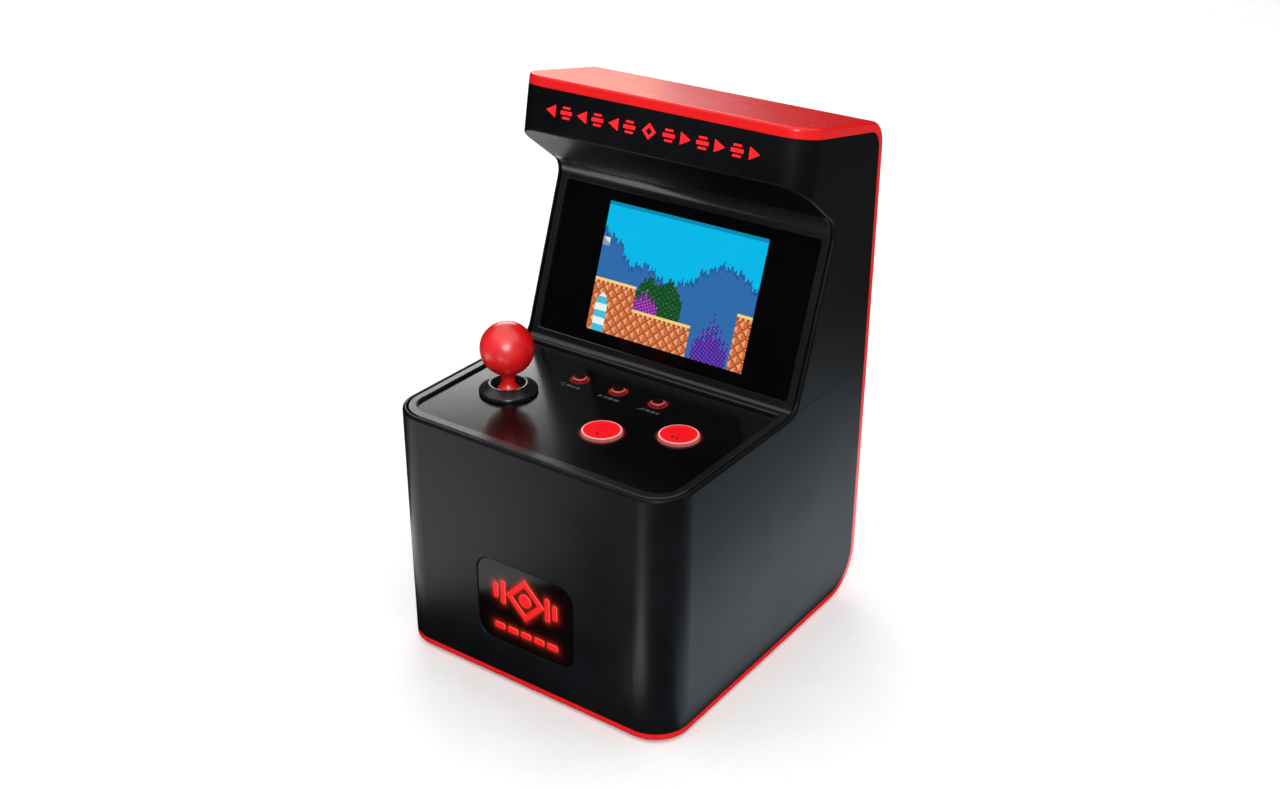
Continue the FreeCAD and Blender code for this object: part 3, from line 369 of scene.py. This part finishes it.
def picture_light():
    """Colours of the display's picture, with the fine dark lines between its rows of dots."""
    shader = Shader("display_picture", roughness=0.3, specular=0.1)
    tint = shader.attribute("picture")
    rows = shader.new("ShaderNodeTexWave", wave_type="BANDS", bands_direction="Z")
    rows.inputs["Scale"].default_value = ROW_LINES
    shader.link(shader.place, rows.inputs["Vector"])
    mix = shader.new("ShaderNodeMix", data_type="RGBA", blend_type="MULTIPLY")
    mix.inputs["Factor"].default_value = ROW_DARKNESS
    shader.link(tint, mix.inputs["A"])
    shader.link(rows.outputs["Color"], mix.inputs["B"])
    shader.glow(mix.outputs["Result"], PICTURE_GLOW)
    dark, light = (0.006, 0.006, 0.006), (0.009, 0.009, 0.009)
    shader.colour(shader.ramp(shader.noise(2 * MM), [(0.3, dark), (0.7, light)]))
    return shader


def grey_print():
    return moulded("grey_print", (0.065, 0.070, 0.070), 0.5, vary=0.2, specular=0.2)


def red_print_painted_glow():
    shader = moulded("red_print_painted_glow", LIT_RED, 0.45, vary=0.06, specular=0.2)
    # painted glow: the marquee print gives off light of its own, with no lamp behind it
    shader.glow(shader.ramp(shader.noise(4 * MM), [(0.3, (0.8, 0.01, 0.016)), (0.7, LIT_RED)]), PRINT_PAINTED_GLOW)
    return shader


def paint(obj, material):
    obj.data.materials.clear()
    obj.data.materials.append(material)


def paint_nodes():
    slots = {name: shader.material for name, shader in plain_materials().items()}
    slots["clear_glass"] = window_glass().material
    for node, obj in NODES.items():
        paint(obj, slots[SLOT_OF[node]])
    paint(NODES["deck_panel"], deck_gloss().material)
    satin = moulded("collar_satin", (0.010, 0.010, 0.011), 0.26, depth=0.001 * MM, specular=0.6)
    paint(NODES["stick_collar"], satin.material)
    paint(NODES["badge_mark"], lit_badge().material)
    paint(NODES["marquee_mark"], red_print_painted_glow().material)
    for button in BIG_BUTTONS:
        cap = lit_cap(button, BIG_CAP_GLOW, BIG_GLOW, (0.12, 0.002, 0.003), wall=WALL_PINK)
        paint(NODES[button], cap.material)
    for button in SMALL_BUTTONS:
        cap = lit_cap(button, SMALL_CAP_GLOW, SMALL_GLOW, (0.012, 0.001, 0.001))
        paint(NODES[button], cap.material)


# ---------------------------------------------------------------- pieces
def add_piece(name, mesh, body, material):
    piece = bpy.data.objects.new(name, mesh)
    bpy.context.scene.collection.objects.link(piece)
    paint(piece, material)
    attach(piece, body)
    return piece


def rubber_domes(material):
    """Each button's dome as a piece of its own."""
    reach = 5 * MM            # farther from a button's axis lies another button's dome
    for button in BIG_BUTTONS + SMALL_BUTTONS:
        middle = centre(button)
        shape = bmesh.new()
        shape.from_mesh(NODES["button_domes"].data)
        others = [v for v in shape.verts if math.hypot(v.co.x - middle.x, v.co.y - middle.y) > reach]
        bmesh.ops.delete(shape, geom=others, context="VERTS")
        mesh = bpy.data.meshes.new(button + "_dome")
        shape.to_mesh(mesh)
        shape.free()
        piece = add_piece(button + "_dome", mesh, "cabinet", material)
        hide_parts("button_domes")
        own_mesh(piece)


def grid_mesh(name, columns, rows, half_x, half_y, keep=None):
    """Flat grid centred on the origin; keep(x, y) says which cells stay."""
    def spot(i, j):
        return (half_x * (2 * i / columns - 1), half_y * (2 * j / rows - 1), 0)

    points = [spot(i, j) for j in range(rows + 1) for i in range(columns + 1)]
    cells = []
    for j in range(rows):
        for i in range(columns):
            x, y, _ = spot(i + 0.5, j + 0.5)
            if keep is None or keep(x, y):
                first = j * (columns + 1) + i
                cells.append((first, first + 1, first + columns + 2, first + columns + 1))
    mesh = bpy.data.meshes.new(name)
    mesh.from_pydata(points, [], cells)
    return mesh


# The display's picture: a plain platform scene, worked out dot by dot from a few shapes. Places in it are
# shares of its width (u, from the left) and of its height (v, from the bottom).
PICTURE_COLUMNS, PICTURE_ROWS = 132, 93
SKY = (0, 190, 240)
HILL, HILL_EDGE = (48, 110, 176), (34, 86, 148)
LEAF, LEAF_LIGHT = (20, 74, 40), (46, 120, 52)
TILE_LIGHT, TILE, TILE_DARK = (246, 170, 118), (214, 112, 62), (132, 48, 24)
CAP_LIGHT, CAP_DARK = (255, 214, 130), (170, 76, 24)
WATER, FOAM = (70, 196, 222), (240, 250, 250)
TILE_GREY, TILE_WHITE = (150, 160, 166), (226, 232, 232)
CRYSTAL, CRYSTAL_LIGHT = (128, 36, 150), (206, 110, 214)
SHRUB, SHRUB_LIGHT = (70, 40, 150), (140, 84, 206)
SHELF = 0.238                 # height of the middle ground
GROUND = [(0.0, 0.262, 0.405), (0.262, 0.64, SHELF), (0.895, 1.01, 0.42)]   # (from, to, height)
CRYSTALS = (0.335, 0.085, 0.19, 3)      # middle, half width, height and number of points
SHRUB_POINTS = (0.77, 0.105, 0.40, 4)
FALL_FROM, FALL_TO, FALL_MIDDLE, FALL_TOP, FALL_CURVE = 0.03, 0.105, 0.067, 0.30, 60
BUSH_FROM, BUSH_TO, BUSH_MIDDLE, BUSH_TOP, BUSH_CURVE = 0.262, 0.56, 0.42, 0.50, 3.6
STONE_TO, STONE_LOW, STONE_HIGH, STONE_SHADE = 0.045, 0.655, 0.725, 0.72    # small grey tile in the sky
TILE_PERIOD = 8               # dots from one sloping joint to the next
HILLS = [(0.0, 0.78), (0.10, 0.72), (0.20, 0.56), (0.30, 0.585), (0.45, 0.49), (0.58, 0.55),
         (0.66, 0.66), (0.76, 0.73), (0.86, 0.71), (1.0, 0.60)]


def between(u, stops):
    """Height of a smooth line through (u, height) stops."""
    for (u0, h0), (u1, h1) in zip(stops, stops[1:]):
        if u <= u1:
            t = (u - u0) / (u1 - u0)
            return h0 + (h1 - h0) * t * t * (3 - 2 * t)
    return stops[-1][1]


def tile_colour(i, j):
    """Sloping square tiles, lit on their upper left."""
    a, b = (i + j) % TILE_PERIOD, (i - j) % TILE_PERIOD
    if a == 0 or b == 0:
        return TILE_DARK
    return TILE_LIGHT if a + b < TILE_PERIOD - 1 else TILE


def spikes(u, middle, half_width, height, count):
    """Height of a clump of upright points, 0 beside it."""
    reach = abs(u - middle) / half_width
    if reach >= 1:
        return 0.0
    wave = abs(((u - middle) / half_width * count) % 1.0 - 0.5) * 2
    return height * (1 - 0.55 * reach) * (0.45 + 0.55 * wave)


def ground_colour(i, j, u, v, height):
    """Ground from its top down: a light edge, a row of blocks, then tiles with a fall of water in an arch."""
    depth = (height - v) * PICTURE_ROWS
    if depth < 2:
        return CAP_LIGHT
    if depth < 4:
        return CAP_DARK if (i // 2) % 2 else TILE_LIGHT
    if FALL_FROM < u < FALL_TO and v < FALL_TOP - FALL_CURVE * (u - FALL_MIDDLE) ** 2:
        return FOAM if (j // 5) % 2 else WATER
    return tile_colour(i, j)


def dot_colour(i, j):
    """Colour of one dot of the picture, from its column and row; the nearest shape that covers it wins."""
    u, v = (i + 0.5) / PICTURE_COLUMNS, (j + 0.5) / PICTURE_ROWS
    for low, high, height in GROUND:
        if low <= u < high and v < height:
            return ground_colour(i, j, u, v, height)
    crystal = spikes(u, *CRYSTALS)
    if crystal > 0 and v < SHELF + crystal:
        return CRYSTAL_LIGHT if (i * 2 + j) % 5 == 0 else CRYSTAL
    if v < spikes(u, *SHRUB_POINTS):
        return SHRUB_LIGHT if (i + j * 2) % 5 == 0 else SHRUB
    if u < STONE_TO and STONE_LOW < v < STONE_HIGH:
        return TILE_GREY if u + v < STONE_SHADE else TILE_WHITE
    ragged = 0.012 * math.sin(i * 1.9) + 0.010 * math.sin(i * 0.83 + 1)
    bush = BUSH_TOP - BUSH_CURVE * (u - BUSH_MIDDLE) ** 2 + 0.035 * math.sin(u * 43) + ragged
    if BUSH_FROM < u < BUSH_TO and v < bush:
        return LEAF_LIGHT if math.sin(i * 1.3) * math.sin(j * 1.7) > 0.55 else LEAF
    hill = between(u, HILLS) + 1.5 * ragged
    if v < hill:
        return HILL_EDGE if hill - v < 0.035 and (i + j) % 3 else HILL
    return SKY


def linear(level):
    """sRGB level from 0 to 255 as a linear value."""
    share = level / 255
    return share / 12.92 if share <= 0.04045 else ((share + 0.055) / 1.055) ** 2.4


def display_picture():
    """The lit dots of the display, a hair in front of its glass, as large as the window in the bezel."""
    panel = Face("lcd_panel")
    margin = 1.5 * MM
    rise = 0.04 * MM
    shaded_rows = 3           # the bezel's edge shades the top of the picture
    mesh = grid_mesh("display_picture", PICTURE_COLUMNS, PICTURE_ROWS,
                     panel.half_x - margin, panel.half_up - margin)
    layer = mesh.color_attributes.new("picture", "FLOAT_COLOR", "CORNER")
    for cell in mesh.polygons:
        row, column = divmod(cell.index, PICTURE_COLUMNS)
        shade = 0.55 if row >= PICTURE_ROWS - shaded_rows else 1.0
        tint = [linear(level) * shade for level in dot_colour(column, row)]
        for corner in cell.loop_indices:
            layer.data[corner].color = (*tint, 1)
    mesh.transform(Matrix.Translation((0, 0, rise)))
    panel.lay(mesh)
    picture = add_piece("display_picture", mesh, "cabinet", picture_light().material)
    for lit in (picture, NODES["screen_lens"]):      # in the photograph the deck doesn't mirror them
        lit.visible_glossy = False
        lit.visible_diffuse = False


def badge_glow_film():
    """Film on the badge plate that carries a painted glow; each of its points knows how near the nearest lit
    mark is.
    """
    plate = Face("badge_plate")
    corner_r = 4.4 * MM
    rise = 0.015 * MM

    def inside(x, y):
        dx, dy = abs(x) - (plate.half_x - corner_r), abs(y) - (plate.half_up - corner_r)
        return math.hypot(max(dx, 0), max(dy, 0)) < corner_r

    mesh = grid_mesh("badge_glow_film", 124, 100, plate.half_x, plate.half_up, inside)
    mesh.transform(Matrix.Translation((0, 0, rise)))
    plate.lay(mesh)
    marks = NODES["badge_mark"].data
    tree = BVHTree.FromPolygons([v.co for v in marks.vertices], [tuple(p.vertices) for p in marks.polygons])
    layer = mesh.attributes.new("painted_glow", "FLOAT", "POINT")
    # painted glow round the marks: strong close to a mark, with a faint wide tail
    near_reach, far_reach = 0.45 * MM, 1.8 * MM
    for vertex in mesh.vertices:
        gap = tree.find_nearest(vertex.co)[3]
        near, far = 0.5 * math.exp(-gap / near_reach), 0.02 * math.exp(-gap / far_reach)
        layer.data[vertex.index].value = near + far
    add_piece("badge_glow_film", mesh, "cabinet", painted_glow_film().material)


# Small printed signs: outlines in millimetres about their own middle.
def disc(x, y, radius, sides=20):
    turns = [2 * math.pi * k / sides for k in range(sides)]
    return [(x + radius * math.cos(t), y + radius * math.sin(t)) for t in turns]


def block(x0, x1, y0, y1):
    return [(x0, y0), (x1, y0), (x1, y1), (x0, y1)]


def arc_band(radius, width, start, end, sides=14):
    turns = [math.radians(start + (end - start) * k / sides) for k in range(sides + 1)]
    outer = [(radius * math.cos(t), radius * math.sin(t)) for t in turns]
    inner = [((radius - width) * math.cos(t), (radius - width) * math.sin(t)) for t in reversed(turns)]
    return outer + inner


def dashes(start, widths, half_height=0.5, gap=0.4):
    """Row of short bars of given widths, from a start."""
    row = []
    for width in widths:
        row.append(block(start, start + width, -half_height, half_height))
        start += width + gap
    return row


def shifted(shapes, dx):
    return [[(x + dx, y) for x, y in shape] for shape in shapes]


TURN_ARROW = [arc_band(0.75, 0.28, -60, 210), [(1.0, -0.65), (0.1, -0.85), (0.4, -0.05)]]
RESET_SIGN = shifted(TURN_ARROW, -2.6) + dashes(-1.2, (1.5, 0.7, 1.3))
START_SIGN = [[(-3.3, -0.75), (-1.9, 0.0), (-3.3, 0.75)]] + dashes(-1.4, (0.7, 1.6, 1.4))
SOUND_SIGN = [block(-3.3, -2.9, -0.75, -0.2), block(-2.6, -2.2, -0.75, 0.3), block(-1.9, -1.5, -0.75, 0.75)]
SOUND_SIGN += dashes(-0.9, (1.2, 1.2, 0.8))
SMALL_SIGN_SHIFT = Vector((0.3, -4.6, 0)) * MM     # from the middle of a small button towards the player
BIG_SIGN_SHIFT = Vector((0, -1.8, 0)) * MM
CAP_DISH = 0.25 * MM          # depth of the hollow in a large cap's top
ONE_DOT = [disc(0, 0, 0.42)]
TWO_DOTS = [disc(-0.65, 0, 0.38), disc(0.65, 0, 0.38)]


def print_sign(name, shapes, place, body, material):
    """Thin raised print on a level face."""
    height = 0.02 * MM
    shape = bmesh.new()
    for outline in shapes:
        spots = [place + Vector((x * MM, y * MM, 0)) for x, y in outline]
        shape.faces.new([shape.verts.new(spot) for spot in spots])
    bmesh.ops.triangulate(shape, faces=shape.faces[:])
    raised = bmesh.ops.extrude_face_region(shape, geom=shape.faces[:])
    moved = [item for item in raised["geom"] if isinstance(item, bmesh.types.BMVert)]
    bmesh.ops.translate(shape, verts=moved, vec=(0, 0, height))
    bmesh.ops.recalc_face_normals(shape, faces=shape.faces[:])
    mesh = bpy.data.meshes.new(name)
    shape.to_mesh(mesh)
    shape.free()
    add_piece(name, mesh, body, material)


def print_signs():
    grey = grey_print().material
    black = moulded("black_print", (0.012, 0.006, 0.008), 0.4).material
    deck = top("deck_panel")
    for button, sign in zip(SMALL_BUTTONS, (RESET_SIGN, START_SIGN, SOUND_SIGN)):
        middle = centre(button)
        place = Vector((middle.x, middle.y, deck)) + SMALL_SIGN_SHIFT
        print_sign(button + "_sign", sign, place, "cabinet", grey)
    for button, sign in zip(BIG_BUTTONS, (ONE_DOT, TWO_DOTS)):
        middle = centre(button)
        place = Vector((middle.x, middle.y, top(button) - CAP_DISH)) + BIG_SIGN_SHIFT
        print_sign(button + "_sign", sign, place, button, black)


# ---------------------------------------------------------------- stage, light and camera
CAMERA_LENS = 45.85
CAMERA_PLACE = Vector((224.57, -314.03, 261.42)) * MM
CAMERA_AZIMUTH, CAMERA_ELEVATION, CAMERA_ROLL = 35.316, 26.667, 0.141
FLOOR_REACH = 6.0
WORLD_STRENGTH = 0.5
WHITE, WARM = (1, 1, 1), (1.0, 0.68, 0.42)
PALE_BLUE, SKY_BLUE, DUSK_BLUE = (0.94, 0.98, 1.0), (0.84, 0.93, 1.0), (0.82, 0.92, 1.0)
AIM = (0, 0, 0.07)            # about the middle of the cabinet

# Lights in the room: name, place, aim, width, height, radiance, colour
SOFTBOXES = (
    ("overhead", (0.0, 0.1, 1.2), (0.0, 0.1, 0), 2.6, 2.6, 1.0, WHITE),
    ("beside_camera", (0.50, -0.70, 0.56), AIM, 0.26, 0.26, 24.0, WHITE),
    ("rear_left", (-0.64, 0.69, 0.395), AIM, 0.50, 0.225, 6.0, WHITE),        # the deck mirrors it
    ("rear_left_low", (-0.735, 0.785, 0.13), (0, 0, 0.14), 0.40, 0.2, 1.1, WARM),   # the red top mirrors it
)
# Panels lying on the table: name, x, y, width, length, radiance, colour. The right wall mirrors the right
# ones and the slanted underside of the marquee mirrors the left one.
TABLE_PANELS = (
    ("right_near_panel", 0.064, 0.06, 0.035, 0.20, 1.7, DUSK_BLUE),
    ("right_far_panel", 0.115, 0.10, 0.065, 0.20, 0.35, SKY_BLUE),
    ("right_rear_panel", 0.21, 0.33, 0.12, 0.30, 0.22, WHITE),
    ("left_panel", -0.17, 0.11, 0.07, 0.16, 1.5, WHITE),
)


def make_camera():
    data = bpy.data.cameras.new("camera")
    data.sensor_width = 36
    data.lens = CAMERA_LENS
    camera = bpy.data.objects.new("camera", data)
    turn = Euler((math.radians(90 - CAMERA_ELEVATION), 0, math.radians(CAMERA_AZIMUTH)), "XYZ").to_matrix()
    roll = Matrix.Rotation(math.radians(CAMERA_ROLL), 3, "Z")
    camera.matrix_world = Matrix.Translation(CAMERA_PLACE) @ (turn @ roll).to_4x4()
    bpy.context.scene.collection.objects.link(camera)
    bpy.context.scene.camera = camera


def softbox(name, place, aim, width, height, radiance, colour=WHITE):
    """Rectangular light that the camera doesn't see, of a given brightness."""
    data = bpy.data.lights.new(name, "AREA")
    data.shape = "RECTANGLE"
    data.size, data.size_y = width, height
    data.energy = radiance * math.pi * width * height
    data.color = colour
    light = bpy.data.objects.new(name, data)
    light.location = place
    light.rotation_euler = (Vector(aim) - Vector(place)).to_track_quat("-Z", "Y").to_euler()
    light.visible_camera = False
    bpy.context.scene.collection.objects.link(light)
    return light


def column_light(name, foot, azimuth, start, end, width, radiance, colour=WHITE):
    """Strip lying on the table that points away from the cabinet; azimuth 0 is straight ahead of it."""
    turn = math.radians(azimuth)
    way = Vector((math.sin(turn), -math.cos(turn), 0))
    place = Vector(foot) + way * (start + end) / 2
    table_light(name, place.x, place.y, width, end - start, radiance, colour, turn)


def table_light(name, x, y, width, length, radiance, colour, turn=0.0):
    """Panel lying on the table, facing up."""
    place = Vector((x, y, 1 * MM))
    light = softbox(name, place, place + Vector((0, 0, 1)), width, length, radiance, colour)
    light.rotation_euler = (math.pi, 0, turn)


def make_stage():
    corners = [(x * FLOOR_REACH, y * FLOOR_REACH, 0) for x, y in ((-1, -1), (1, -1), (1, 1), (-1, 1))]
    floor_mesh = bpy.data.meshes.new("floor")
    floor_mesh.from_pydata(corners, [], [(0, 1, 2, 3)])
    floor = bpy.data.objects.new("floor", floor_mesh)
    bpy.context.scene.collection.objects.link(floor)
    paint(floor, moulded("floor", (0.86, 0.86, 0.86), 0.7, grain=3 * MM, depth=0.0, vary=0.01).material)
    floor.visible_glossy = False      # so that the walls mirror the panels alone, not a white floor
    world = bpy.data.worlds.new("studio")
    bpy.context.scene.world = world
    world.use_nodes = True
    background = world.node_tree.nodes["Background"]
    background.inputs["Color"].default_value = (1, 1, 1, 1)
    background.inputs["Strength"].default_value = WORLD_STRENGTH
    world.cycles_visibility.glossy = False


def make_lights():
    for light in SOFTBOXES:
        softbox(*light)
    front_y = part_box("lower_shell")[0].y
    right_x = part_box("lower_shell")[1].x
    corner = 10 * MM          # radius of the front right corner, which mirrors the strip
    column_light("corner_strip", (right_x - corner, front_y + corner, 0), azimuth=-6, start=0.03, end=0.25,
                 width=0.018, radiance=6.0)
    column_light("front_left_panel", (-0.045, front_y, 0), azimuth=-48, start=0.015, end=0.23,
                 width=0.10, radiance=2.3, colour=PALE_BLUE)
    for panel in TABLE_PANELS:
        table_light(*panel)


make_camera()
make_stage()
make_lights()
bpy.context.scene.view_settings.view_transform = "Standard"
paint_nodes()
rubber_domes(NODES["button_domes"].data.materials[0])
display_picture()
badge_glow_film()
print_signs()
